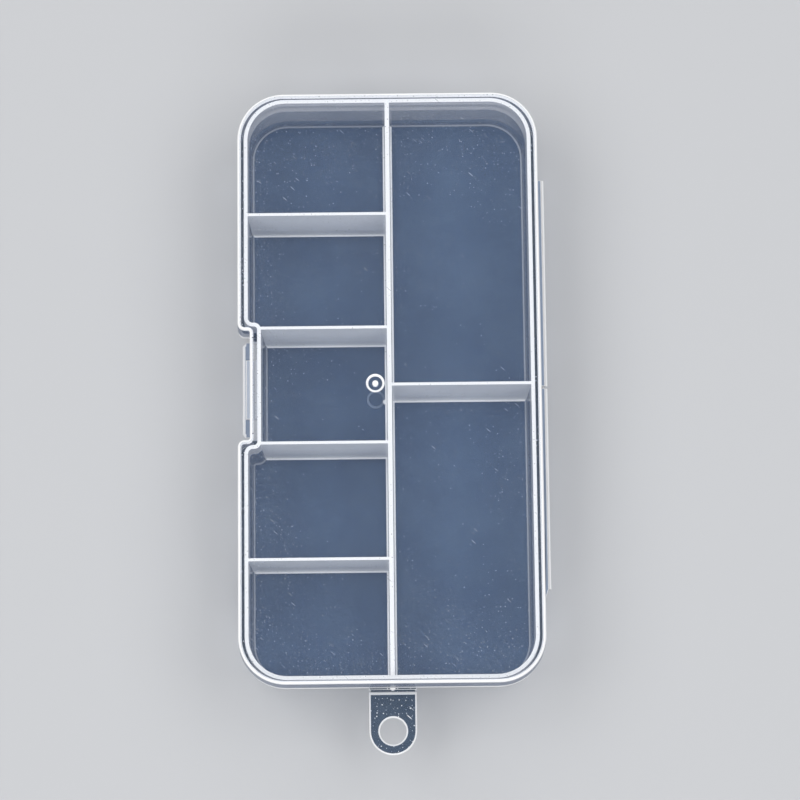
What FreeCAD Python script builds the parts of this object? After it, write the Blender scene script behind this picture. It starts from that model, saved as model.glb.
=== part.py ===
"""Pocket storage box with a film-hinged lid, seven fixed compartments, a snap latch and a hang tab.

Millimetres. +X is the hinge side, -X the latch side, -Y the hang tab's end and +Z up. The origin is the
middle of the tray's bottom face. The box is closed.
"""
import FreeCAD
import Part
import math
import os
import Sketcher
from FreeCAD import Vector

# Driving dimensions: alias, value, meaning
SIZES = [
    ("lid_width", 65.0, "lid across its top edge, latch side to hinge side"),
    ("lid_length", 128.1, "lid across its top edge, end to end"),
    ("box_height", 20.4, "table to the top of the closed lid"),
    ("lid_corner_radius", 10.0, "corner of the lid seen from above"),
    ("lid_edge_radius", 0.6, "rounding of the lid's top edge"),
    ("panel_thickness", 1.2, "lid's top plate"),
    ("skirt_thickness", 0.75, "lid's skirt"),
    ("skirt_draft", 0.3, "how far the skirt's foot stands outside its top"),
    ("parting_height", 12.3, "top of the tray's rim"),
    ("parting_gap", 0.1, "skirt's foot above the rim"),
    ("headroom", 0.2, "lid's underside above the wall and the dividers"),
    ("side_gap", 0.6, "skirt to wall on the long sides, for the lid's swing"),
    ("end_gap", 0.2, "skirt to wall on the short ends"),
    ("notch_length", 23.9, "latch notch in the lid's outline"),
    ("notch_depth", 2.6, "latch notch, measured in from the lid's side"),
    ("notch_outer_radius", 1.5, "lid's corner where the notch begins"),
    ("notch_inner_radius", 0.5, "lid's corner at the back of the notch"),
    ("latch_gap", 0.8, "skirt to the recessed wall behind the latch"),
    ("recess_outer_radius", 1.9, "wall's corner where its recess begins"),
    ("recess_inner_radius", 0.7, "wall's corner at the back of its recess"),
    ("wall_thickness", 0.82, "tray wall at its top edge"),
    ("wall_taper", 0.25, "wall's outer face, from the rim to the top edge"),
    ("foot_taper", 0.2, "wall's outer face, from the rim to the table"),
    ("cavity_taper", 0.3, "wall's inner face, from the top edge to the floor"),
    ("cavity_foot_radius", 0.4, "rounding between the wall and the floor"),
    ("floor_thickness", 1.1, "tray floor"),
    ("foot_radius", 0.6, "rounding of the tray's lower edge"),
    ("rim_thickness", 1.2, "flange round the tray"),
    ("centre_divider_top", 0.95, "long divider at its top edge"),
    ("centre_divider_foot", 1.25, "long divider at the floor"),
    ("cross_divider_top", 0.62, "short dividers at their top edge"),
    ("cross_divider_foot", 1.0, "short dividers at the floor"),
    ("divider_foot_radius", 0.2, "rounding between a divider and the floor"),
    ("cross_divider_pitch", 25.02, "spacing of the dividers on the latch side"),
    ("gate_offset", 3.06, "moulding gates, measured from the long divider"),
    ("gate_radius", 2.0, "gate well at the surface"),
    ("gate_slope", 0.5, "gate well's wall, from the surface in to its bottom"),
    ("gate_nub_radius", 0.6, "gate stub in its well"),
    ("gate_depth", 0.35, "gate well"),
    ("hinge_length", 91.9, "film hinge, both lengths together"),
    ("hinge_slit", 0.5, "gap between the two lengths of film hinge"),
    ("hinge_point", 2.2, "slanted front end of the hinge"),
    ("leaf_width", 0.7, "hinge leaf, out from the rim"),
    ("leaf_thickness", 0.9, "hinge leaf"),
    ("film_radius", 0.6, "outside of the folded film"),
    ("film_thickness", 0.4, "film hinge"),
    ("flap_length", 20.6, "flexing latch flap"),
    ("flap_slit", 0.25, "slit at each end of the flap"),
    ("flap_root_gap", 0.1, "flap below the lid's top plate"),
    ("lip_reach", 1.53, "thumb lip, out from the flap's foot"),
    ("lip_thickness", 0.9, "thumb lip"),
    ("lip_corner_radius", 0.9, "thumb lip seen from above"),
    ("grip_length", 13.0, "raised grip on the thumb lip"),
    ("grip_width", 0.8, "raised grip on the thumb lip"),
    ("grip_height", 0.6, "raised grip on the thumb lip"),
    ("catch_length", 13.0, "catch and hook, along the box"),
    ("catch_reach", 0.6, "catch, out from the recessed wall"),
    ("catch_land", 0.4, "upright face of the catch"),
    ("catch_ramp", 0.9, "slope above the catch"),
    ("catch_gap", 0.1, "catch above the hook"),
    ("hook_bite", 0.25, "overlap of hook and catch, seen from above"),
    ("hook_height", 0.75, "hook, up from the flap's foot"),
    ("hook_lead", 0.25, "slanted lower edge of the hook"),
    ("tab_width", 10.14, "hang tab"),
    ("tab_reach", 14.3, "hang tab, out from the rim"),
    ("tab_hole_radius", 2.82, "hole in the hang tab"),
    ("tab_root_length", 0.5, "stub of the tab on the rim"),
    ("tab_crease", 0.4, "crease between the stub and the tab"),
    ("tab_nick", 0.35, "notch at each end of the crease"),
    ("tab_film_thickness", 0.35, "plastic left at the crease"),
]

CROSS_DIVIDER_COUNT = 4
EDGE_FLATS = 3

# Levels and places that follow from the sizes
UNDERSIDE = "(Sizes.box_height - Sizes.panel_thickness)"
WALL_TOP = "(Sizes.box_height - Sizes.panel_thickness - Sizes.headroom)"
SKIRT_FOOT = "(Sizes.parting_height + Sizes.parting_gap)"
RIM_BOTTOM = "(Sizes.parting_height - Sizes.rim_thickness)"
RIM_X = "(Sizes.lid_width / 2 + Sizes.skirt_draft)"
RIM_Y = "(Sizes.lid_length / 2 + Sizes.skirt_draft)"
LEAF_EDGE = f"({RIM_X} + Sizes.leaf_width)"
FLAP_FACE = "(Sizes.lid_width / 2 - Sizes.notch_depth + Sizes.skirt_draft)"
RECESS_FACE = ("(Sizes.lid_width / 2 - Sizes.notch_depth - Sizes.skirt_thickness"
               " - Sizes.latch_gap)")
CATCH_EDGE = f"({RECESS_FACE} + Sizes.wall_taper + Sizes.catch_reach)"
HOOK_EDGE = f"({CATCH_EDGE} - Sizes.hook_bite)"
CATCH_FOOT = f"({SKIRT_FOOT} + Sizes.hook_height + Sizes.catch_gap)"
SLOT_LENGTH = "(Sizes.flap_length + 2 * Sizes.flap_slit)"
TAB_START = f"({RIM_Y} + Sizes.tab_root_length + Sizes.tab_crease)"
TAB_HOLE_Y = f"({RIM_Y} + Sizes.tab_reach - Sizes.tab_width / 2)"

doc = FreeCAD.newDocument("StorageBox")
sheet = doc.addObject("Spreadsheet::Sheet", "Sizes")
for row, (alias, value, meaning) in enumerate(SIZES, start=1):
    sheet.set(f"A{row}", meaning)
    sheet.set(f"B{row}", str(value))
    sheet.setAlias(f"B{row}", alias)
doc.recompute()


def number(expression):
    """Value of an expression of the sheet."""
    return float(sheet.evalExpression(expression))


def bind(thing, **expressions):
    """Ties properties to the sheet. Underscores in a name stand for the dots of its path."""
    for path, expression in expressions.items():
        thing.setExpression(path.replace("_", "."), expression)


# Bodies and sketches


def new_body(name):
    return doc.addObject("PartDesign::Body", name)


def new_sketch(body, name, plane, height="0"):
    """Sketch on one of the body's origin planes, raised by the given height."""
    sketch = body.newObject("Sketcher::SketchObject", name)
    support = [face for face in body.Origin.OriginFeatures if face.Role == plane][0]
    sketch.AttachmentSupport = [(support, "")]
    sketch.MapMode = "FlatFace"
    bind(sketch, AttachmentOffset_Base_z=height)
    return sketch


def hold(sketch, kind, edge, end, expression):
    """Keeps an edge's end at a signed distance from the sketch's axes, bound to the sheet."""
    value = number(expression)
    points = (edge, end, -1, 1) if value < 0 else (-1, 1, edge, end)
    sign = "-1 * " if value < 0 else ""
    index = sketch.addConstraint(Sketcher.Constraint(kind, *points, abs(value)))
    sketch.setExpression(f"Constraints[{index}]", f"{sign}({expression})")


def set_radius(sketch, arcs, expression):
    """Gives the first arc its radius and makes the others equal to it."""
    index = sketch.addConstraint(Sketcher.Constraint("Radius", arcs[0], number(expression)))
    sketch.setExpression(f"Constraints[{index}]", expression)
    for other in arcs[1:]:
        sketch.addConstraint(Sketcher.Constraint("Equal", arcs[0], other))


def polygon(sketch, corners):
    """Closed outline of straight edges through corners given as pairs of expressions."""
    points = [Vector(number(x), number(y), 0) for x, y in corners]
    count = len(points)
    for i in range(count):
        sketch.addGeometry(Part.LineSegment(points[i], points[(i + 1) % count]), False)
    for i, (x, y) in enumerate(corners):
        sketch.addConstraint(Sketcher.Constraint("Coincident", i - 1 if i else count - 1, 2, i, 1))
        hold(sketch, "DistanceX", i, 1, x)
        hold(sketch, "DistanceY", i, 1, y)


def arc(x, y, radius, start):
    """Quarter circle, counter-clockwise from the start angle in degrees."""
    circle = Part.Circle(Vector(x, y, 0), Vector(0, 0, 1), radius)
    return Part.ArcOfCircle(circle, math.radians(start), math.radians(start + 90))


def line(x1, y1, x2, y2):
    return Part.LineSegment(Vector(x1, y1, 0), Vector(x2, y2, 0))


def lid_outline(offset):
    """Lid seen from above, moved outward by the offset."""
    return {
        "side": f"Sizes.lid_width / 2 + ({offset})",
        "end": f"Sizes.lid_length / 2 + ({offset})",
        "corner": f"Sizes.lid_corner_radius + ({offset})",
        "back": f"Sizes.lid_width / 2 - Sizes.notch_depth + ({offset})",
        "step": f"Sizes.notch_length / 2 - ({offset})",
        "convex": f"Sizes.notch_outer_radius + ({offset})",
        "concave": f"Sizes.notch_inner_radius - ({offset})",
    }


def tray_outline(offset):
    """Outside of the tray wall's top edge seen from above, moved outward by the offset."""
    inset = "Sizes.skirt_thickness"
    return {
        "side": f"Sizes.lid_width / 2 - {inset} - Sizes.side_gap + ({offset})",
        "end": f"Sizes.lid_length / 2 - {inset} - Sizes.end_gap + ({offset})",
        "corner": f"Sizes.lid_corner_radius - {inset} - Sizes.end_gap + ({offset})",
        "back": f"{RECESS_FACE} + ({offset})",
        "step": f"Sizes.notch_length / 2 + {inset} + Sizes.end_gap - ({offset})",
        "convex": f"Sizes.recess_outer_radius + ({offset})",
        "concave": f"Sizes.recess_inner_radius - ({offset})",
    }


def outline_sketch(body, name, height, outline):
    """Rounded rectangle with a latch recess in its -X side, whose ends are S-shaped steps.

    side and end are the half width and half length, back is the recess's distance from the middle, step
    its half length, and convex and concave are the two radii of each step.
    """
    sketch = new_sketch(body, name, "XY_Plane", height)
    side, end, corner, back, step, convex, concave = [number(text) for text in outline.values()]
    sketch.addGeometry([
        line(side, corner - end, side, end - corner),
        arc(side - corner, end - corner, corner, 0),
        line(side - corner, end, corner - side, end),
        arc(corner - side, end - corner, corner, 90),
        line(-side, end - corner, -side, step + convex),
        arc(convex - side, step + convex, convex, 180),
        line(convex - side, step, -back - concave, step),
        arc(-back - concave, step - concave, concave, 0),
        line(-back, step - concave, -back, concave - step),
        arc(-back - concave, concave - step, concave, 270),
        line(-back - concave, -step, convex - side, -step),
        arc(convex - side, -step - convex, convex, 90),
        line(-side, -step - convex, -side, corner - end),
        arc(corner - side, corner - end, corner, 180),
        line(corner - side, -end, side - corner, -end),
        arc(side - corner, corner - end, corner, 270),
    ], False)
    right, top, left_upper, step_upper, recess, step_lower, left_lower, bottom = range(0, 16, 2)
    concave_arcs = (step_upper + 1, recess + 1)
    for edge in range(16):
        following = (edge + 1) % 16
        leaves = 1 if edge in concave_arcs else 2
        enters = 2 if following in concave_arcs else 1
        sketch.addConstraint(Sketcher.Constraint("Tangent", edge, leaves, following, enters))
    for edge in (right, left_upper, recess, left_lower):
        sketch.addConstraint(Sketcher.Constraint("Vertical", edge))
    for edge in (top, step_upper, step_lower, bottom):
        sketch.addConstraint(Sketcher.Constraint("Horizontal", edge))
    hold(sketch, "DistanceX", right, 1, outline["side"])
    hold(sketch, "DistanceX", left_upper, 1, f"-({outline['side']})")
    hold(sketch, "DistanceX", left_lower, 1, f"-({outline['side']})")
    hold(sketch, "DistanceX", recess, 1, f"-({outline['back']})")
    hold(sketch, "DistanceY", top, 1, outline["end"])
    hold(sketch, "DistanceY", bottom, 1, f"-({outline['end']})")
    hold(sketch, "DistanceY", step_upper, 1, outline["step"])
    hold(sketch, "DistanceY", step_lower, 1, f"-({outline['step']})")
    set_radius(sketch, [right + 1, top + 1, left_lower + 1, bottom + 1], outline["corner"])
    set_radius(sketch, [left_upper + 1, step_lower + 1], outline["convex"])
    set_radius(sketch, concave_arcs, outline["concave"])
    return sketch


def drafted_body(name, sections):
    """Straight-sided body through outlines given as (height, outline), from the lowest up."""
    body = new_body(name)
    sketches = [outline_sketch(body, f"{name}Section{i}", height, outline)
                for i, (height, outline) in enumerate(sections, start=1)]
    loft = body.newObject("PartDesign::AdditiveLoft", f"{name}Loft")
    loft.Profile = sketches[0]
    loft.Sections = sketches[1:]
    loft.Ruled = True
    doc.recompute()
    return body


def rounded_edge(outline, offset, level, radius, upward):
    """Sections, from the lowest up, that round an upper (1) or lower (-1) edge in a few flats."""
    sections = []
    for i in range(EDGE_FLATS + 1):
        angle = math.pi / 2 * i / EDGE_FLATS
        height = f"{level} - {upward * (1 - math.sin(angle)):.6f} * {radius}"
        inset = f"{offset} - {1 - math.cos(angle):.6f} * {radius}"
        sections.append((height, outline(inset)))
    return sections[::upward]


def padded(name, plane, corners, start, length):
    """Straight-edged profile pushed along its plane's normal, from start on."""
    body = new_body(name)
    sketch = new_sketch(body, f"{name}Profile", plane, start)
    polygon(sketch, corners)
    pad = body.newObject("PartDesign::Pad", f"{name}Pad")
    pad.Profile = sketch
    bind(pad, Length=length)
    return body


# Solids combined


def box(name, x, y, z, length_x, length_y, length_z):
    """Block from its lowest corner."""
    block = doc.addObject("Part::Box", name)
    bind(block, Placement_Base_x=x, Placement_Base_y=y, Placement_Base_z=z)
    bind(block, Length=length_x, Width=length_y, Height=length_z)
    return block


def cylinder(name, x, y, z, radius, height):
    """Upright cylinder from the middle of its lower end."""
    round_bar = doc.addObject("Part::Cylinder", name)
    bind(round_bar, Placement_Base_x=x, Placement_Base_y=y, Placement_Base_z=z)
    bind(round_bar, Radius=radius, Height=height)
    return round_bar


def cone(name, x, y, z, lower_radius, upper_radius, height):
    """Upright cone frustum from the middle of its lower end."""
    frustum = doc.addObject("Part::Cone", name)
    bind(frustum, Placement_Base_x=x, Placement_Base_y=y, Placement_Base_z=z)
    bind(frustum, Radius1=lower_radius, Radius2=upper_radius, Height=height)
    return frustum


def combine(kind, name, base, tool):
    """Part boolean: Cut, Fuse or Common."""
    result = doc.addObject(f"Part::{kind}", name)
    result.Base = base
    result.Tool = tool
    return result


def cut(name, base, *tools):
    """Base without the tools."""
    for i, tool in enumerate(tools, start=1):
        last = i == len(tools)
        base = combine("Cut", name if last else f"{name}Step{i}", base, tool)
    return base


nodes = []


def node(thing, label):
    """Marks a finished piece, whose label names its file."""
    thing.Label = label
    nodes.append(thing)
    return thing


# Tray


def gate_well(name, z, opens_up):
    """Ring-shaped well with a sloping wall, round the stub that a moulding gate leaves."""
    place = ("-Sizes.gate_offset", "0", z)
    radii = ["Sizes.gate_radius - Sizes.gate_slope", "Sizes.gate_radius"]
    lower, upper = radii if opens_up else reversed(radii)
    well = cone(f"{name}Well", *place, lower, upper, "Sizes.gate_depth")
    stub = cylinder(f"{name}Stub", *place, "Sizes.gate_nub_radius", "Sizes.gate_depth")
    return cut(name, well, stub)


tray_blank = drafted_body("TrayBlank", [
    *rounded_edge(tray_outline, "Sizes.wall_taper - Sizes.foot_taper", "0", "Sizes.foot_radius", -1),
    ("Sizes.parting_height", tray_outline("Sizes.wall_taper")),
    (WALL_TOP, tray_outline("0")),
])

cavity = drafted_body("Cavity", [
    *rounded_edge(tray_outline, "-(Sizes.wall_thickness + Sizes.cavity_taper)",
                  "Sizes.floor_thickness", "Sizes.cavity_foot_radius", -1),
    (WALL_TOP, tray_outline("-(Sizes.wall_thickness)")),
])

floor_level = box("FloorLevel", "-Sizes.lid_width", "-Sizes.lid_length", "0",
                  "2 * Sizes.lid_width", "2 * Sizes.lid_length", "Sizes.floor_thickness")
floor_plate = combine("Common", "FloorPlate", tray_blank, floor_level)
node(cut("TrayFloor", floor_plate, gate_well("FloorGate", "0", False)), "tray_floor")
node(cut("TrayWall", tray_blank, floor_level, cavity), "tray_wall")

rim_blank = new_body("RimBlank")
rim_pad = rim_blank.newObject("PartDesign::Pad", "RimPad")
rim_pad.Profile = outline_sketch(rim_blank, "RimSection", RIM_BOTTOM, lid_outline("Sizes.skirt_draft"))
bind(rim_pad, Length="Sizes.rim_thickness")
latch_slot = box("LatchSlot", "-Sizes.lid_width", f"-{SLOT_LENGTH} / 2", "0",
                 "Sizes.lid_width", SLOT_LENGTH, UNDERSIDE)
node(cut("TrayRim", rim_blank, tray_blank, latch_slot), "tray_rim")


# Dividers


def divider_profile(top, foot):
    """Section of a divider, thicker at the floor than at its top edge and rounded into the floor."""
    hollow = f"{1 - math.sqrt(0.5):.6f}"
    half = [
        (f"{foot} / 2 + Sizes.divider_foot_radius", "Sizes.floor_thickness"),
        (f"{foot} / 2 + {hollow} * Sizes.divider_foot_radius",
         f"Sizes.floor_thickness + {hollow} * Sizes.divider_foot_radius"),
        (f"{foot} / 2", "Sizes.floor_thickness + Sizes.divider_foot_radius"),
        (f"{top} / 2", WALL_TOP),
    ]
    return half + [(f"-({x})", z) for x, z in reversed(half)]


long_blank = padded("LongBlank", "XZ_Plane",
                    divider_profile("Sizes.centre_divider_top", "Sizes.centre_divider_foot"),
                    "-Sizes.lid_length / 2", "Sizes.lid_length")
centre_divider = node(combine("Common", "CentreDivider", long_blank, cavity), "centre_divider")


def short_divider(name, label, start, y):
    """Divider from the long one to a side wall: start is where its blank begins along X."""
    profile = divider_profile("Sizes.cross_divider_top", "Sizes.cross_divider_foot")
    blank = padded(f"{name}Blank", "YZ_Plane", profile, start, "Sizes.lid_width / 2")
    bind(blank, Placement_Base_y=y)
    fitted = combine("Common", f"{name}Fitted", blank, cavity)
    node(cut(name, fitted, centre_divider), label)


for i in range(CROSS_DIVIDER_COUNT):
    place = f"{i - (CROSS_DIVIDER_COUNT - 1) / 2} * Sizes.cross_divider_pitch"
    short_divider(f"CrossDivider{i + 1}", f"cross_divider_{i + 1}", "-Sizes.lid_width / 2", place)
short_divider("RightDivider", "right_divider", "0", "0")


# Lid


lid_blank = drafted_body("LidBlank", [
    (SKIRT_FOOT, lid_outline("Sizes.skirt_draft")),
    *rounded_edge(lid_outline, "0", "Sizes.box_height", "Sizes.lid_edge_radius", 1),
])

lid_hollow = drafted_body("LidHollow", [
    (SKIRT_FOOT, lid_outline("Sizes.skirt_draft - Sizes.skirt_thickness")),
    (UNDERSIDE, lid_outline("-(Sizes.skirt_thickness)")),
])

panel_level = box("PanelLevel", "-Sizes.lid_width", "-Sizes.lid_length", UNDERSIDE,
                  "2 * Sizes.lid_width", "2 * Sizes.lid_length", "Sizes.panel_thickness")
panel_plate = combine("Common", "PanelPlate", lid_blank, panel_level)
lid_gate = gate_well("LidGate", "Sizes.box_height - Sizes.gate_depth", True)
node(cut("LidPanel", panel_plate, lid_gate), "lid_panel")
skirt_ring = cut("SkirtRing", lid_blank, panel_level, lid_hollow)
node(cut("LidSkirt", skirt_ring, latch_slot), "lid_skirt")


# Latch


flap_space = box("FlapSpace", "-Sizes.lid_width", "-Sizes.flap_length / 2", "0",
                 "Sizes.lid_width", "Sizes.flap_length", f"{UNDERSIDE} - Sizes.flap_root_gap")
latch_flap = node(combine("Common", "LatchFlap", skirt_ring, flap_space), "latch_flap")

lip_edge = f"({FLAP_FACE} + Sizes.lip_reach)"
lip_blank = box("LipBlank", f"-{lip_edge}", "-Sizes.flap_length / 2", SKIRT_FOOT,
                "Sizes.lip_reach + Sizes.skirt_thickness", "Sizes.flap_length", "Sizes.lip_thickness")
doc.recompute()
lip_plate = doc.addObject("Part::Fillet", "LipPlate")
lip_plate.Base = lip_blank
lip_corner = number("Sizes.lip_corner_radius")
lip_plate.Edges = [(i, lip_corner, lip_corner) for i, edge in enumerate(lip_blank.Shape.Edges, start=1)
                   if edge.BoundBox.XMax < -number(lip_edge) + 1e-4
                   and edge.BoundBox.ZLength > 1e-4]
grip = box("Grip", f"-{FLAP_FACE} - Sizes.grip_width", "-Sizes.grip_length / 2",
           f"{SKIRT_FOOT} + Sizes.lip_thickness",
           "Sizes.grip_width + Sizes.skirt_thickness", "Sizes.grip_length", "Sizes.grip_height")
lip_with_grip = combine("Fuse", "LipWithGrip", lip_plate, grip)
node(cut("ThumbLip", lip_with_grip, lid_blank, lid_hollow), "thumb_lip")

catch_blank = padded("CatchBlank", "XZ_Plane", [
    (f"-{RECESS_FACE}", CATCH_FOOT),
    (f"-{RECESS_FACE}", f"{CATCH_FOOT} + Sizes.catch_land + Sizes.catch_ramp"),
    (f"-{RECESS_FACE} - Sizes.wall_taper", f"{CATCH_FOOT} + Sizes.catch_land + Sizes.catch_ramp"),
    (f"-{CATCH_EDGE}", f"{CATCH_FOOT} + Sizes.catch_land"),
    (f"-{CATCH_EDGE}", CATCH_FOOT),
], "-Sizes.catch_length / 2", "Sizes.catch_length")
node(cut("LatchCatch", catch_blank, tray_blank), "latch_catch")

hook_blank = padded("HookBlank", "XZ_Plane", [
    (f"-{FLAP_FACE}", SKIRT_FOOT),
    (f"-{HOOK_EDGE} - Sizes.hook_lead", SKIRT_FOOT),
    (f"-{HOOK_EDGE}", f"{SKIRT_FOOT} + Sizes.hook_lead"),
    (f"-{HOOK_EDGE}", f"{SKIRT_FOOT} + Sizes.hook_height"),
    (f"-{FLAP_FACE}", f"{SKIRT_FOOT} + Sizes.hook_height"),
], "-Sizes.catch_length / 2", "Sizes.catch_length")
node(combine("Common", "LatchHook", hook_blank, lid_hollow), "latch_hook")


# Film hinge


def hinge_leaf(name, z, carrier, near, far, point):
    """Leaf between two places along Y that grows out of its carrier, with a slanted near end."""
    root = "Sizes.lid_width / 2"
    blank = padded(f"{name}Blank", "XY_Plane", [
        (root, near),
        (RIM_X, near),
        (LEAF_EDGE, f"{near} + {point}"),
        (LEAF_EDGE, far),
        (root, far),
    ], z, "Sizes.leaf_thickness")
    return cut(name, blank, carrier)


def hinge_film(name, near, far):
    """Film folded in a half circle from the tray's leaf to the lid's leaf."""
    inner = "Sizes.film_radius - Sizes.film_thickness"
    middle = "Sizes.parting_height + Sizes.parting_gap / 2"
    x, z = number(LEAF_EDGE), number(middle)
    outer_radius, inner_radius = number("Sizes.film_radius"), number(inner)
    body = new_body(name)
    sketch = new_sketch(body, f"{name}Profile", "XZ_Plane", f"-({far})")
    outer_circle = Part.Circle(Vector(x, z, 0), Vector(0, 0, 1), outer_radius)
    inner_circle = Part.Circle(Vector(x, z, 0), Vector(0, 0, 1), inner_radius)
    sketch.addGeometry([
        Part.ArcOfCircle(outer_circle, -math.pi / 2, math.pi / 2),
        line(x, z + outer_radius, x, z + inner_radius),
        Part.ArcOfCircle(inner_circle, -math.pi / 2, math.pi / 2),
        line(x, z - inner_radius, x, z - outer_radius),
    ], False)
    outline_joints = [(0, 2, 1, 1), (1, 2, 2, 2), (2, 1, 3, 1), (3, 2, 0, 1)]
    shared_centre = (0, 3, 2, 3)
    for joint in [*outline_joints, shared_centre]:
        sketch.addConstraint(Sketcher.Constraint("Coincident", *joint))
    sketch.addConstraint(Sketcher.Constraint("Vertical", 1))
    sketch.addConstraint(Sketcher.Constraint("Vertical", 3))
    sketch.addConstraint(Sketcher.Constraint("Vertical", 1, 1, 0, 3))
    hold(sketch, "DistanceX", 0, 3, LEAF_EDGE)
    hold(sketch, "DistanceY", 0, 3, middle)
    set_radius(sketch, [0], "Sizes.film_radius")
    set_radius(sketch, [2], inner)
    pad = body.newObject("PartDesign::Pad", f"{name}Pad")
    pad.Profile = sketch
    bind(pad, Length=f"{far} - ({near})")
    return body


def hinge_half(label, near, far, point):
    """One length of the hinge: a leaf on the rim, a leaf on the skirt and the film between them."""
    name = label.capitalize()
    leaf_bottom = "Sizes.parting_height - Sizes.leaf_thickness"
    tray_leaf = hinge_leaf(f"TrayLeaf{name}", leaf_bottom, rim_blank, near, far, point)
    node(tray_leaf, f"tray_hinge_leaf_{label}")
    lid_leaf = hinge_leaf(f"LidLeaf{name}", SKIRT_FOOT, lid_blank, near, far, point)
    node(lid_leaf, f"lid_hinge_leaf_{label}")
    node(hinge_film(f"HingeFilm{name}", f"{near} + {point}", far), f"hinge_film_{label}")


hinge_half("rear", "Sizes.hinge_slit / 2", "Sizes.hinge_length / 2", "0")
hinge_half("front", "-Sizes.hinge_length / 2", "-Sizes.hinge_slit / 2", "Sizes.hinge_point")


# Hang tab


node(box("HangTabRoot", "-Sizes.tab_width / 2", f"-{RIM_Y} - Sizes.tab_root_length", RIM_BOTTOM,
         "Sizes.tab_width", "Sizes.tab_root_length", "Sizes.rim_thickness"), "hang_tab_root")
node(box("HangTabFilm", "Sizes.tab_nick - Sizes.tab_width / 2", f"-{TAB_START}",
         "Sizes.parting_height - Sizes.tab_film_thickness",
         "Sizes.tab_width - 2 * Sizes.tab_nick", "Sizes.tab_crease", "Sizes.tab_film_thickness"),
     "hang_tab_film")

tab_plate = box("TabPlate", "-Sizes.tab_width / 2", f"-{TAB_HOLE_Y}", RIM_BOTTOM,
                "Sizes.tab_width", f"{TAB_HOLE_Y} - {TAB_START}", "Sizes.rim_thickness")
tab_end = cylinder("TabEnd", "0", f"-{TAB_HOLE_Y}", RIM_BOTTOM,
                   "Sizes.tab_width / 2", "Sizes.rim_thickness")
tab_hole = cylinder("TabHole", "0", f"-{TAB_HOLE_Y}", RIM_BOTTOM,
                    "Sizes.tab_hole_radius", "Sizes.rim_thickness")
tab_outline = combine("Fuse", "TabOutline", tab_plate, tab_end)
tab_outline.Refine = True
node(cut("HangTab", tab_outline, tab_hole), "hang_tab")

doc.recompute()

# Every object has to be sound before anything is written
for thing in doc.Objects:
    if "Invalid" in thing.State or "Error" in thing.State:
        raise RuntimeError(f"{thing.Name} failed: {thing.State}")
for thing in nodes:
    shape = thing.Shape
    if shape.isNull() or not shape.isValid() or len(shape.Solids) != 1:
        raise RuntimeError(f"{thing.Label} isn't one sound solid")

os.makedirs("parts", exist_ok=True)
for thing in nodes:
    thing.Shape.exportStep(f"parts/{thing.Label}.step")
    extent = thing.Shape.BoundBox
    print(f"{thing.Label}: {thing.Shape.Volume:.2f} mm3, "
          f"x {extent.XMin:.2f} to {extent.XMax:.2f}, y {extent.YMin:.2f} to {extent.YMax:.2f}, "
          f"z {extent.ZMin:.2f} to {extent.ZMax:.2f}")
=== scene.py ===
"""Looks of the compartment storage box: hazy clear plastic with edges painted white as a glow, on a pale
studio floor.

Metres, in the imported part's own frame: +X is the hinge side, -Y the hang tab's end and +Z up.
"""
import math

import bmesh
import bpy
from mathutils import Matrix, Vector
from mathutils.bvhtree import BVHTree


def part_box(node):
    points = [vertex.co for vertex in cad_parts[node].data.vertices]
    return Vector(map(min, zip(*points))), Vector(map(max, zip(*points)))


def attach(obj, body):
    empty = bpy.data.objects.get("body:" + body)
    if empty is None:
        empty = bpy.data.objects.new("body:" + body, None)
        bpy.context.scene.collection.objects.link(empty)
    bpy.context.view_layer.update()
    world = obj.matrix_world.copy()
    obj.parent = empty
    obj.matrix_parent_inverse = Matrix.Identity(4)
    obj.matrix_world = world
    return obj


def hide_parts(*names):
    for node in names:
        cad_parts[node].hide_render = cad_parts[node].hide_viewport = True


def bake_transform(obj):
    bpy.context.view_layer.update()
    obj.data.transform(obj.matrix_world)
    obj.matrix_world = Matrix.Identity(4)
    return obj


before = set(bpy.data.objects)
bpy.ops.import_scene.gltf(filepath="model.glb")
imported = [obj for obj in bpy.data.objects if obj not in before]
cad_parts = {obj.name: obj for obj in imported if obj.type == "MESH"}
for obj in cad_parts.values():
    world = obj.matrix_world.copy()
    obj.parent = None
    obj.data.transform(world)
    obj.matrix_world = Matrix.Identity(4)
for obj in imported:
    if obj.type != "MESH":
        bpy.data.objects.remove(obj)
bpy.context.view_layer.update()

MM = 0.001

# Camera at the photograph's angle, aimed at a point near the lid's middle
SENSOR_MM = 36.0
LENS_MM = 137.6
AIM = Vector((2.19, -3.31, 18.0)) * MM
AIM_DISTANCE = 655.06 * MM
CAMERA_TURN = math.radians(-0.977)
CAMERA_TILT = math.radians(10.03)
CAMERA_ROLL = math.radians(0.355)

# Floor, lit by the lamps up to one distance from the box and plainly pale from another one on
FLOOR_SIZE = 20.0
FLOOR_DROP = 0.05 * MM
FLOOR_COLOUR = (0.54, 0.55, 0.57, 1)
FLOOR_ROUGHNESS = 0.85
FLOOR_SPECULAR = 0.2
FAR_FLOOR_COLOUR = (0.6, 0.61, 0.64, 1)
LIT_FLOOR = 0.3
FAR_FLOOR = 0.8

# Lights: each softbox's name, place in metres and power in watts
WORLD_STRENGTH = 0.36
SOFTBOX_SIZE = (0.9, 0.6)
SOFTBOXES = (
    ("left_softbox", (-0.55, 0.1, 0.75), 3.5),
    ("right_softbox", (0.55, 0.1, 0.75), 3.1),
    ("front_softbox", (0.0, -0.85, 0.5), 4.6),
    ("rear_softbox", (0.0, 0.95, 0.5), 2.4),
)
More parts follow.
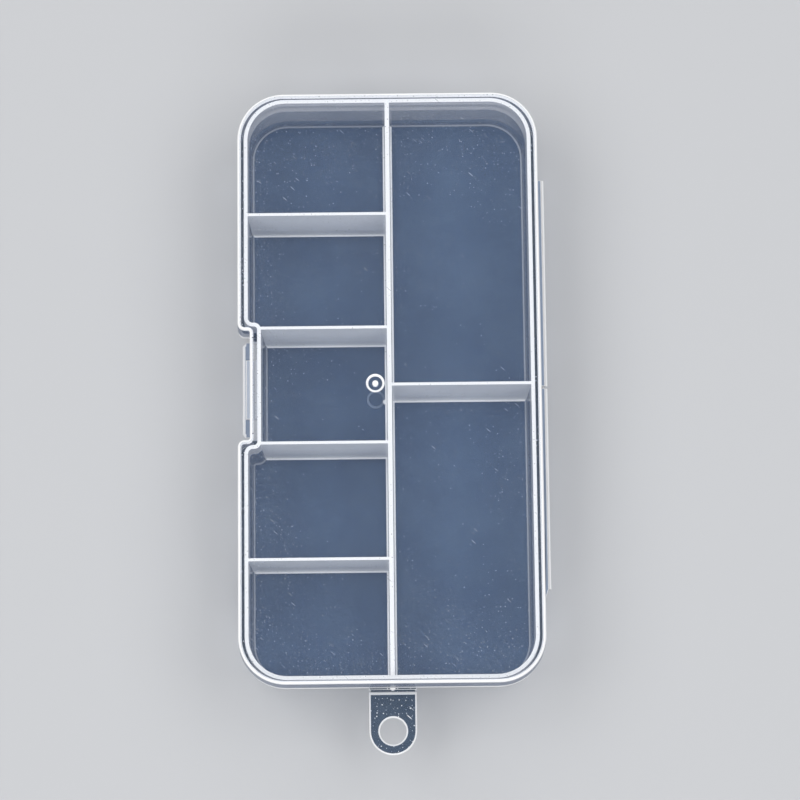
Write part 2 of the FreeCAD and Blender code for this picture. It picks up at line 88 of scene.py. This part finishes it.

# Colours of the plastic's haze, and tints of the light that passes it
# Near-white of narrow faces: painted glow and painted highlights, partly also the haze seen along thin walls
EDGE_GLOW_WHITE = (0.98, 0.985, 1.0, 1)
SLATE = (0.06, 0.14, 0.32, 1)
DARK_SLATE = (0.05, 0.09, 0.16, 1)
WALL_BLUE = (0.095, 0.155, 0.28, 1)
# Paler grey of the wall above the rim: painted light, for side light scattering in the wall and the lid's
# skirt
PAINTED_LIGHT_GREY = (0.85, 0.86, 0.9, 1)
LEAF_BLUE = (0.36, 0.46, 0.62, 1)
HINGE_BLUE = (0.55, 0.66, 0.84, 1)
# Pale blue: the lid's own faint haze; near-solid on the catch, hook and lip's grip, where it is painted light
PALE_BLUE = (0.82, 0.89, 1.0, 1)
DIVIDER_GREY = (0.82, 0.84, 0.88, 1)
CLEAR_TINT = (0.987, 0.992, 1.0, 1)
SMOKE_TINT = (0.89, 0.955, 1.0, 1)

# Haze, the share of light that a face scatters. The least slant keeps a sheet seen along its face from turning
# solid, and the backlit shares are what a face shows of light from its other side.
LID_HAZE = 0.015
FLOOR_HAZE = 0.33
WALL_HAZE = 0.15
DIVIDER_HAZE = 0.33
LIP_HAZE = 0.55
HINGE_HAZE = 0.75
RIM_HAZE = 0.66
# Near-solid haze of catch, hook and grip: painted light from the sides
CATCH_HAZE = 0.9
# Near-solid haze where the white glow is painted
EDGE_GLOW_HAZE = 0.985
CLOUD_SCALE = 60.0
CLOUD_DETAIL = 5.0
CLOUD_ROUGHNESS = 0.65
CLOUD_RANGE = (0.3, 0.7)
CLOUD_SPREAD = (0.92, 1.08)
LEAST_SLANT = 0.15
BACKLIT_FACE = 0.4
BACKLIT_EDGE = 0.03

# Gloss
GLOSS_ROUGHNESS = (0.08, 0.2)
MIRROR_HEAD_ON = 0.04
MIRROR_GRAZING = 0.6
MIRROR_FALLOFF = 5.0

# How upright or level a face is, as its normal's share along Z, where the painted white glow of the edges
# starts and ends
FLAT_TO_EDGE = (0.97, 0.85)
UPRIGHT_TO_EDGE = (0.2, 0.5)
LEVEL = 0.999
UPRIGHT = 0.5

# Heights and widths of the borders: the rim's top, above which the wall turns a painted light grey, and the
# fades of the skirt's band and the plates' slopes in painted white glow
RIM_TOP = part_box("tray_rim")[1][2]
SKIRT_BEAD_TOP = 13.4 * MM
BEAD_FADE = 0.2 * MM
PLATE_FADE = (0.01 * MM, 0.05 * MM)

# Dust: its strength on three plastics, then specks on a grid and scratches on a stretched one, both in cells
# per metre, with radii in cells
LID_DUST = 0.3
FLOOR_DUST = 0.65
TAB_DUST = 1.0
SPECK_GRID = 1150.0
SPECK_RADIUS = 0.22
SCRATCH_GRID = 1300.0
SCRATCH_RADIUS = 0.16
SCRATCH_TURN = math.radians(-42)
SCRATCH_LENGTH = 9.0
SCRATCH_SHARE = 0.25
SMALLEST_SPECK = 0.4
SPECK_CORE = 0.4
SPECK_STRENGTHS = (0.3, 1.0)
PATCH_SCALE = 55.0
BY_LATCH = (-18 * MM, -30 * MM)
BY_ENDS = (42 * MM, 62 * MM)
WALL_DUST = 0.3
DUST_THICKNESS = (0.42, 0.8)
DUST_SHARES = (0.03, 0.8)

# Round white spots at the lid's and floor's gates and at the tab's root, as x and y from the middle and
# radius, all in mm
LID_GATE_MARKS = ((-3.06, 0.0, 0.75),)
FLOOR_GATE_MARKS = ((-1.05, -0.7, 0.6),)
TAB_ROOT_MARKS = ((0.0, -64.4, 0.75),)
MARK_CORE = 0.7

# Edges
WELD = 0.001 * MM
HAIR = 0.02 * MM
OUTWARD = 5 * MM
FLAT = math.radians(0.5)
SHARP = math.radians(30)
SMOOTH = math.radians(15)
LEAF_EDGE = 0.12 * MM
RIM_EDGE = 0.3 * MM
LIP_EDGE = 0.6 * MM
LIP_GRIP_EDGE = 0.2 * MM
TAB_OUTLINE = 0.34 * MM
CREASE_SLOPE = 0.65 * MM
CREASE_CUTS = 5
WALL_REACH = 0.2 * MM
FOOT_SPREAD = 0.2 * MM
EDGE_SEGMENTS = 2


class Graph:
    """A material's node tree, built socket by socket."""

    def __init__(self, name):
        self.material = bpy.data.materials.new(name)
        self.material.use_nodes = True
        self.tree = self.material.node_tree
        self.tree.nodes.clear()

    def add(self, kind, inputs=(), **settings):
        """New node of a kind. Inputs are (socket name or number, value or socket) pairs."""
        new = self.tree.nodes.new(kind)
        for setting, value in settings.items():
            setattr(new, setting, value)
        for socket, value in inputs:
            if isinstance(value, bpy.types.NodeSocket):
                self.tree.links.new(value, new.inputs[socket])
            else:
                new.inputs[socket].default_value = value
        return new

    def math(self, operation, first, second=0.0, third=0.0):
        inputs = [(0, first), (1, second), (2, third)]
        return self.add("ShaderNodeMath", inputs, operation=operation).outputs[0]

    def ramp(self, value, low, high, to_low=0.0, to_high=1.0):
        """Value carried smoothly from one range to another."""
        inputs = [("Value", value), ("From Min", low), ("From Max", high),
                  ("To Min", to_low), ("To Max", to_high)]
        return self.add("ShaderNodeMapRange", inputs, interpolation_type="SMOOTHSTEP").outputs["Result"]

    def mix(self, share, first, second):
        """Number part-way between two others."""
        inputs = [("Value", share), ("To Min", first), ("To Max", second)]
        return self.add("ShaderNodeMapRange", inputs).outputs["Result"]

    def mix_colour(self, share, first, second):
        return self.add("ShaderNodeMix", [(0, share), (6, first), (7, second)], data_type="RGBA").outputs[2]

    def mix_shader(self, share, first, second):
        return self.add("ShaderNodeMixShader", [(0, share), (1, first), (2, second)]).outputs[0]

    def output(self, surface):
        self.add("ShaderNodeOutputMaterial", [("Surface", surface)])
        return self.material


# Studio


def make_camera():
    data = bpy.data.cameras.new("photo_camera")
    data.sensor_width = SENSOR_MM
    data.lens = LENS_MM
    camera = bpy.data.objects.new("photo_camera", data)
    bpy.context.scene.collection.objects.link(camera)
    turn = Matrix.Rotation(CAMERA_TURN, 4, "Z")
    tilt = Matrix.Rotation(CAMERA_TILT, 4, "X")
    roll = Matrix.Rotation(CAMERA_ROLL, 4, "Z")
    back_off = Matrix.Translation((0, 0, AIM_DISTANCE))
    camera.matrix_world = Matrix.Translation(AIM) @ turn @ tilt @ roll @ back_off
    bpy.context.scene.camera = camera


def floor_paint():
    """Paint that looks as pale far off, where the lamps don't reach, as it does round the box."""
    graph = Graph("pale_floor")
    place = graph.add("ShaderNodeTexCoord")
    distance = graph.add("ShaderNodeVectorMath", [(0, place.outputs["Object"])], operation="LENGTH")
    path = graph.add("ShaderNodeLightPath")
    mirrored = graph.math("MAXIMUM", path.outputs["Is Glossy Ray"], path.outputs["Is Transmission Ray"])
    in_sight = graph.math("MAXIMUM", path.outputs["Is Camera Ray"], mirrored)
    lit = graph.add("ShaderNodeBsdfPrincipled", [("Base Color", FLOOR_COLOUR), ("Roughness", FLOOR_ROUGHNESS),
                                                 ("Specular IOR Level", FLOOR_SPECULAR)])
    far = graph.add("ShaderNodeEmission", [("Color", FAR_FLOOR_COLOUR)])
    share = graph.math("MULTIPLY", graph.ramp(distance.outputs["Value"], LIT_FLOOR, FAR_FLOOR), in_sight)
    material = graph.output(graph.mix_shader(share, lit.outputs[0], far.outputs[0]))
    material.cycles.emission_sampling = "NONE"
    return material


def make_floor():
    corner = FLOOR_SIZE / 2
    mesh = bpy.data.meshes.new("floor")
    mesh.from_pydata(
        [(-corner, -corner, -FLOOR_DROP), (corner, -corner, -FLOOR_DROP),
         (corner, corner, -FLOOR_DROP), (-corner, corner, -FLOOR_DROP)], [], [(0, 1, 2, 3)])
    mesh.materials.append(floor_paint())
    floor = bpy.data.objects.new("floor", mesh)
    bpy.context.scene.collection.objects.link(floor)


def make_softbox(name, place, power):
    """Area light at a place, turned to the box."""
    data = bpy.data.lights.new(name, "AREA")
    data.shape = "RECTANGLE"
    data.size, data.size_y = SOFTBOX_SIZE
    data.energy = power
    light = bpy.data.objects.new(name, data)
    bpy.context.scene.collection.objects.link(light)
    light.location = place
    light.rotation_euler = (-Vector(place)).to_track_quat("-Z", "Y").to_euler()


def make_lights():
    world = bpy.data.worlds.new("studio")
    world.use_nodes = True
    background = world.node_tree.nodes["Background"]
    background.inputs["Color"].default_value = (1, 1, 1, 1)
    background.inputs["Strength"].default_value = WORLD_STRENGTH
    bpy.context.scene.world = world
    for softbox in SOFTBOXES:
        make_softbox(*softbox)


# Plastic


def edge_mask(graph, place, broad_faces):
    """1 on a piece's narrow or slanted faces and 0 on its broad ones, which lie flat or stand upright."""
    normal = graph.add("ShaderNodeSeparateXYZ", [(0, place.outputs["Normal"])])
    upward = graph.math("ABSOLUTE", normal.outputs["Z"])
    if broad_faces == "flat":
        return graph.ramp(upward, *FLAT_TO_EDGE)
    return graph.ramp(upward, *UPRIGHT_TO_EDGE)


def speckle(graph, vector, scale, share, radius):
    """Spots in a share of a grid's cells, each of its own size and strength."""
    cells = graph.add("ShaderNodeTexVoronoi", [("Vector", vector), ("Scale", scale)], voronoi_dimensions="2D")
    draw = graph.add("ShaderNodeSeparateColor", [(0, cells.outputs["Color"])])
    there = graph.math("LESS_THAN", draw.outputs[0], share)
    size = graph.ramp(draw.outputs[1], 0.0, 1.0, SMALLEST_SPECK * radius, radius)
    strength = graph.ramp(draw.outputs[2], 0.0, 1.0, *SPECK_STRENGTHS)
    dot = graph.ramp(cells.outputs["Distance"], size, graph.math("MULTIPLY", size, SPECK_CORE))
    return graph.math("MULTIPLY", graph.math("MULTIPLY", dot, there), strength)


def dust(graph, place, lowest):
    """Dust specks and short slanting scratches above a height, thicker by the latch, ends and in patches."""
    spread = graph.add("ShaderNodeSeparateXYZ", [(0, place.outputs["Object"])])
    by_latch = graph.ramp(spread.outputs["X"], *BY_LATCH)
    by_ends = graph.ramp(graph.math("ABSOLUTE", spread.outputs["Y"]), *BY_ENDS)
    patches = graph.add("ShaderNodeTexNoise", [("Vector", place.outputs["Object"]), ("Scale", PATCH_SCALE)])
    by_wall = graph.math("MAXIMUM", by_latch, by_ends)
    thick = graph.math("MULTIPLY_ADD", by_wall, WALL_DUST, patches.outputs["Fac"])
    share = graph.ramp(thick, *DUST_THICKNESS, *DUST_SHARES)
    specks = speckle(graph, place.outputs["Object"], SPECK_GRID, share, SPECK_RADIUS)
    slanted = graph.add("ShaderNodeMapping", [("Vector", place.outputs["Object"]),
                                              ("Rotation", (0, 0, SCRATCH_TURN)),
                                              ("Scale", (SCRATCH_LENGTH, 1.0, 1.0))], vector_type="TEXTURE")
    scratch_share = graph.math("MULTIPLY", share, SCRATCH_SHARE)
    scratches = speckle(graph, slanted.outputs[0], SCRATCH_GRID, scratch_share, SCRATCH_RADIUS)
    upper_face = graph.math("GREATER_THAN", spread.outputs["Z"], lowest)
    return graph.math("MULTIPLY", graph.math("MAXIMUM", specks, scratches), upper_face)


def spot(graph, place, x, y, radius):
    """1 within a round mark, seen from above."""
    offset = graph.add("ShaderNodeVectorMath", [(0, place.outputs["Object"]), (1, Vector((x, y, 0)) * MM)],
                       operation="SUBTRACT")
    flat = graph.add("ShaderNodeVectorMath", [(0, offset.outputs[0]), (1, (1, 1, 0))], operation="MULTIPLY")
    reach = graph.add("ShaderNodeVectorMath", [(0, flat.outputs[0])], operation="LENGTH").outputs["Value"]
    return graph.ramp(reach, radius * MM, MARK_CORE * radius * MM)


def along_sheet(graph, haze):
    """Haze of a thin sheet, which thickens where the line of sight runs along the sheet."""
    facing = graph.add("ShaderNodeLayerWeight", [("Blend", 0.5)]).outputs["Facing"]
    slant = graph.math("MAXIMUM", graph.math("SUBTRACT", 1.0, facing), LEAST_SLANT)
    return graph.math("SUBTRACT", 1.0, graph.math("POWER", 1 - haze, graph.math("DIVIDE", 1.0, slant)))


def heights(name):
    """Lowest and highest point of a CAD node."""
    low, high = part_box(name)
    return low[2], high[2]


def plate_border(graph, place, height, plate):
    """1 on a plate's slopes between its lower and upper face, and 0 on the two and in flat-bottomed wells."""
    low, high = plate
    half = (high - low) / 2
    from_middle = graph.math("ABSOLUTE", graph.math("SUBTRACT", height, (low + high) / 2))
    inside = graph.ramp(from_middle, half - PLATE_FADE[0], half - PLATE_FADE[1])
    normal = graph.add("ShaderNodeSeparateXYZ", [(0, place.outputs["Normal"])])
    sloping = graph.math("LESS_THAN", graph.math("ABSOLUTE", normal.outputs["Z"]), LEVEL)
    return graph.math("MULTIPLY", inside, sloping)


def plastic(name, broad_faces, face_haze, face_colour, painted_light_colour=None, tint=CLEAR_TINT, plate=None,
            foot_glow=None, bead_top=None, dusty=None, marks=()):
    """Clear plastic with a faint haze on its broad faces and white painted on its narrow ones: partly the
    milky haze seen along a thin wall, partly painted glow of light carried to the edges, and painted
    highlights.

    painted_light_colour is the haze's colour above the tray's rim, where it differs: a paler grey, painted
    light for the side light that scatters in the wall and the lid's skirt. plate holds the heights of a plate
    whose border takes the painted glow. foot_glow is the share of the painted glow that is left below a
    height, and that height.
    bead_top is the height below which all faces take the painted glow. dusty is the dust's strength and lowest
    height.
    """
    graph = Graph(name)
    place = graph.add("ShaderNodeTexCoord")
    height = graph.add("ShaderNodeSeparateXYZ", [(0, place.outputs["Object"])]).outputs["Z"]
    # Paler haze above the rim: painted light
    if painted_light_colour:
        face_colour = graph.mix_colour(graph.ramp(height, RIM_TOP, RIM_TOP + MM), face_colour, painted_light_colour)
    # white: painted glow on narrow and slanted faces; plate borders, the bead, white spots and dust are added
    # to it below
    white = edge_mask(graph, place, broad_faces)
    if plate:
        white = graph.math("MAXIMUM", white, plate_border(graph, place, height, plate))
    # Less of the painted glow below a height
    if foot_glow:
        share, top = foot_glow
        white = graph.math("MULTIPLY", white, graph.ramp(height, top, top + MM, share, 1.0))
    # Painted glow on every face below the bead's top
    if bead_top:
        white = graph.math("MAXIMUM", white, graph.ramp(height, bead_top, bead_top - BEAD_FADE))
    for mark in marks:
        white = graph.math("MAXIMUM", white, spot(graph, place, *mark))
    if dusty:
        strength, lowest = dusty
        white = graph.math("MAXIMUM", white, graph.math("MULTIPLY", dust(graph, place, lowest), strength))
    cloud = graph.add("ShaderNodeTexNoise", [("Vector", place.outputs["Object"]), ("Scale", CLOUD_SCALE),
                                             ("Detail", CLOUD_DETAIL),
                                             ("Roughness", CLOUD_ROUGHNESS)]).outputs["Fac"]
    if broad_faces == "upright":
        face_haze = along_sheet(graph, face_haze)
    cloudy = graph.math("MULTIPLY", graph.ramp(cloud, *CLOUD_RANGE, *CLOUD_SPREAD), face_haze)
    haze = graph.mix(white, cloudy, EDGE_GLOW_HAZE)
    colour = graph.mix_colour(white, face_colour, EDGE_GLOW_WHITE)
    clear = graph.add("ShaderNodeBsdfTransparent", [("Color", tint)]).outputs[0]
    front = graph.add("ShaderNodeBsdfDiffuse", [("Color", colour)]).outputs[0]
    back = graph.add("ShaderNodeBsdfTranslucent", [("Color", colour)]).outputs[0]
    scatter = graph.mix_shader(graph.mix(white, BACKLIT_FACE, BACKLIT_EDGE), front, back)
    body = graph.mix_shader(haze, clear, scatter)
    gloss = graph.add("ShaderNodeBsdfGlossy", [("Roughness", graph.mix(cloud, *GLOSS_ROUGHNESS))]).outputs[0]
    facing = graph.add("ShaderNodeLayerWeight", [("Blend", 0.5)]).outputs["Facing"]
    outside = graph.math("SUBTRACT", 1.0, graph.add("ShaderNodeNewGeometry").outputs["Backfacing"])
    grazing = graph.math("POWER", facing, MIRROR_FALLOFF)
    mirror = graph.math("MULTIPLY_ADD", grazing, MIRROR_GRAZING, MIRROR_HEAD_ON)
    return graph.output(graph.mix_shader(graph.math("MULTIPLY", mirror, outside), body, gloss))


# Pieces


def dress(material, *names):
    """Gives CAD nodes a material."""
    for name in names:
        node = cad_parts[name]
        node.data.materials.clear()
        node.data.materials.append(material)


def node_shape(name):
    """Editable copy of a CAD node's mesh, welded and with its flat faces whole."""
    shape = bmesh.new()
    shape.from_mesh(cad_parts[name].data)
    bmesh.ops.remove_doubles(shape, verts=shape.verts, dist=WELD)
    bmesh.ops.dissolve_limit(shape, angle_limit=FLAT, verts=shape.verts, edges=shape.edges)
    return shape


def make_piece(name, shape, materials):
    """Object of a finished shape that stands for the CAD node of that name."""
    mesh = bpy.data.meshes.new(f"{name}_form")
    shape.to_mesh(mesh)
    shape.free()
    for material in materials:
        mesh.materials.append(material)
    mesh.shade_smooth()
    mesh.set_sharp_from_angle(angle=SMOOTH)
    piece = bpy.data.objects.new(f"{name}_form", mesh)
    bpy.context.scene.collection.objects.link(piece)
    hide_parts(name)
    return piece


def round_edges(shape, width, chosen=lambda edge: True):
    """Rounds a shape's sharp edges, or those chosen. The rounding takes the shape's second material."""
    shape.normal_update()
    sharp = [edge for edge in shape.edges
             if len(edge.link_faces) == 2 and edge.calc_face_angle() > SHARP and chosen(edge)]
    bmesh.ops.bevel(shape, geom=sharp, offset=width, offset_type="OFFSET", segments=EDGE_SEGMENTS,
                    profile=0.5, affect="EDGES", clamp_overlap=False, material=1)


def middle(edge):
    return (edge.verts[0].co + edge.verts[1].co) / 2


def lies_outside(edge):
    """True for an edge of a face that looks away from the box's middle."""
    place = middle(edge)
    return any(face.normal.x * place.x + face.normal.y * place.y > OUTWARD for face in edge.link_faces)


def upright(face):
    return abs(face.normal.z) < UPRIGHT


def make_skirt():
    """Skirt whose top, white with painted glow, lies a hair below the panel, so that it shows through."""
    shape = node_shape("lid_skirt")
    top = heights("lid_skirt")[1]
    for corner in shape.verts:
        if corner.co.z > top - WELD:
            corner.co.z -= HAIR
    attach(make_piece("lid_skirt", shape, [skirt_plastic]), "lid")


def make_rim():
    """Rim with a rounded free border in the painted white glow, open on the side where it grows out of the
    wall.
    """
    shape = node_shape("tray_rim")
    wall_shape = node_shape("tray_wall")
    wall = BVHTree.FromBMesh(wall_shape)
    wall_shape.free()

    def meets_wall(face):
        return wall.find_nearest(face.calc_center_median())[3] < WALL_REACH

    shape.normal_update()
    joined = [face for face in shape.faces if upright(face) and meets_wall(face)]
    bmesh.ops.delete(shape, geom=joined, context="FACES")
    round_edges(shape, RIM_EDGE, lambda edge: any(upright(face) for face in edge.link_faces))
    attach(make_piece("tray_rim", shape, [slate_plastic, painted_glow_plastic]), "base")


def rounded(name, body, width, material):
    """A CAD node's form with rounded edges in the painted white glow."""
    shape = node_shape(name)
    round_edges(shape, width)
    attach(make_piece(name, shape, [material, painted_glow_plastic]), body)


def make_divider(name):
    """A divider whose foot spreads a little further onto the floor than the CAD node's."""
    low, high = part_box(name)
    thickness = 0 if high[0] - low[0] < high[1] - low[1] else 1
    centre = (low[thickness] + high[thickness]) / 2
    shape = node_shape(name)
    for corner in shape.verts:
        if corner.co.z < low[2] + WELD:
            corner.co[thickness] += math.copysign(FOOT_SPREAD, corner.co[thickness] - centre)
    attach(make_piece(name, shape, [divider_plastic]), "base")


def make_hang_tab():
    """Tab with a narrow rounded outline and a broader slope at its crease, both in the painted white glow."""
    shape = node_shape("hang_tab")
    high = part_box("hang_tab")[1]
    crease_y = high[1]
    top = high[2]
    round_edges(shape, CREASE_SLOPE,
                lambda edge: middle(edge).y > crease_y - WELD and middle(edge).z > top - WELD)
    round_edges(shape, TAB_OUTLINE, lambda edge: middle(edge).y < crease_y - CREASE_SLOPE - WELD)
    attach(make_piece("hang_tab", shape, [slate_plastic, painted_glow_plastic]), "hang_tab")


def make_thumb_lip():
    """Lip with a broad rounded outer edge in the painted white glow, and a grip in pale painted light."""
    shape = node_shape("thumb_lip")
    low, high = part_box("thumb_lip")
    plate_top = sorted({round(corner.co.z, 6) for corner in shape.verts})[-2]
    for face in shape.faces:
        if face.calc_center_median().z > plate_top + WELD:
            face.material_index = 2

    def outer_edge(edge):
        place = middle(edge)
        return abs(place.z - plate_top) < WELD and lies_outside(edge) and place.x < low[0] + LIP_EDGE

    round_edges(shape, LIP_EDGE, outer_edge)
    round_edges(shape, LIP_GRIP_EDGE, lambda edge: middle(edge).z > high[2] - WELD and lies_outside(edge))
    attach(make_piece("thumb_lip", shape, [leaf_plastic, painted_glow_plastic, pale_painted_light_plastic]), "latch")


def make_hinge_film(half):
    """Hinge film, copied from the CAD node's form, all in the painted white glow."""
    name = f"hinge_film_{half}"
    film = make_piece(name, node_shape(name), [painted_glow_plastic])
    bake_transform(film)


def make_tab_film():
    """Crease of the hang tab, with its edges along Y cut five times."""
    shape = node_shape("hang_tab_film")
    across = [edge for edge in shape.edges if abs(edge.verts[0].co.y - edge.verts[1].co.y) > WELD]
    bmesh.ops.subdivide_edges(shape, edges=across, cuts=CREASE_CUTS, use_grid_fill=True)
    film = make_piece("hang_tab_film", shape, [slate_plastic])
    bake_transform(film)


lid_plastic = plastic("lid_plastic", "flat", LID_HAZE, PALE_BLUE, plate=heights("lid_panel"),
                      dusty=(LID_DUST, heights("lid_panel")[1] - HAIR), marks=LID_GATE_MARKS)
floor_plastic = plastic("floor_plastic", "flat", FLOOR_HAZE, SLATE, tint=SMOKE_TINT,
                        foot_glow=(0.75, 0.5 * MM), dusty=(FLOOR_DUST, heights("tray_floor")[1] - HAIR),
                        marks=FLOOR_GATE_MARKS)
# The wall's grey above the rim is painted light
wall_plastic = plastic("wall_plastic", "upright", WALL_HAZE, WALL_BLUE, painted_light_colour=PAINTED_LIGHT_GREY,
                       foot_glow=(0.5, 2 * MM))
# The skirt and flap are white below the bead's top: painted glow
skirt_plastic = plastic("skirt_plastic", "upright", WALL_HAZE, WALL_BLUE, bead_top=SKIRT_BEAD_TOP)
divider_plastic = plastic("divider_plastic", "upright", DIVIDER_HAZE, DIVIDER_GREY)
leaf_plastic = plastic("leaf_plastic", "flat", LIP_HAZE, LEAF_BLUE)
hinge_plastic = plastic("hinge_plastic", "flat", HINGE_HAZE, HINGE_BLUE)
slate_plastic = plastic("slate_plastic", "flat", RIM_HAZE, DARK_SLATE, tint=SMOKE_TINT,
                        dusty=(TAB_DUST, heights("hang_tab")[1] - HAIR), marks=TAB_ROOT_MARKS)
# Catch, hook and lip's grip in near-solid pale: painted light from the sides
pale_painted_light_plastic = plastic("pale_painted_light_plastic", "flat", CATCH_HAZE, PALE_BLUE)
# Rounded edges and films: near-solid white, painted glow
painted_glow_plastic = plastic("painted_glow_plastic", "flat", EDGE_GLOW_HAZE, EDGE_GLOW_WHITE)

dress(lid_plastic, "lid_panel")
dress(floor_plastic, "tray_floor")
dress(wall_plastic, "tray_wall")
dress(skirt_plastic, "latch_flap")
dress(pale_painted_light_plastic, "latch_catch", "latch_hook")

for name in ("centre_divider", "right_divider", *[f"cross_divider_{i}" for i in range(1, 5)]):
    make_divider(name)
for half in ("rear", "front"):
    rounded(f"tray_hinge_leaf_{half}", "base", LEAF_EDGE, hinge_plastic)
    rounded(f"lid_hinge_leaf_{half}", "lid", LEAF_EDGE, hinge_plastic)
    make_hinge_film(half)
make_skirt()
make_rim()
rounded("hang_tab_root", "base", LEAF_EDGE, slate_plastic)
make_thumb_lip()
make_hang_tab()
make_tab_film()

make_camera()
make_floor()
make_lights()

scene = bpy.context.scene
scene.view_settings.view_transform = "Standard"
scene.cycles.transparent_max_bounces = 32
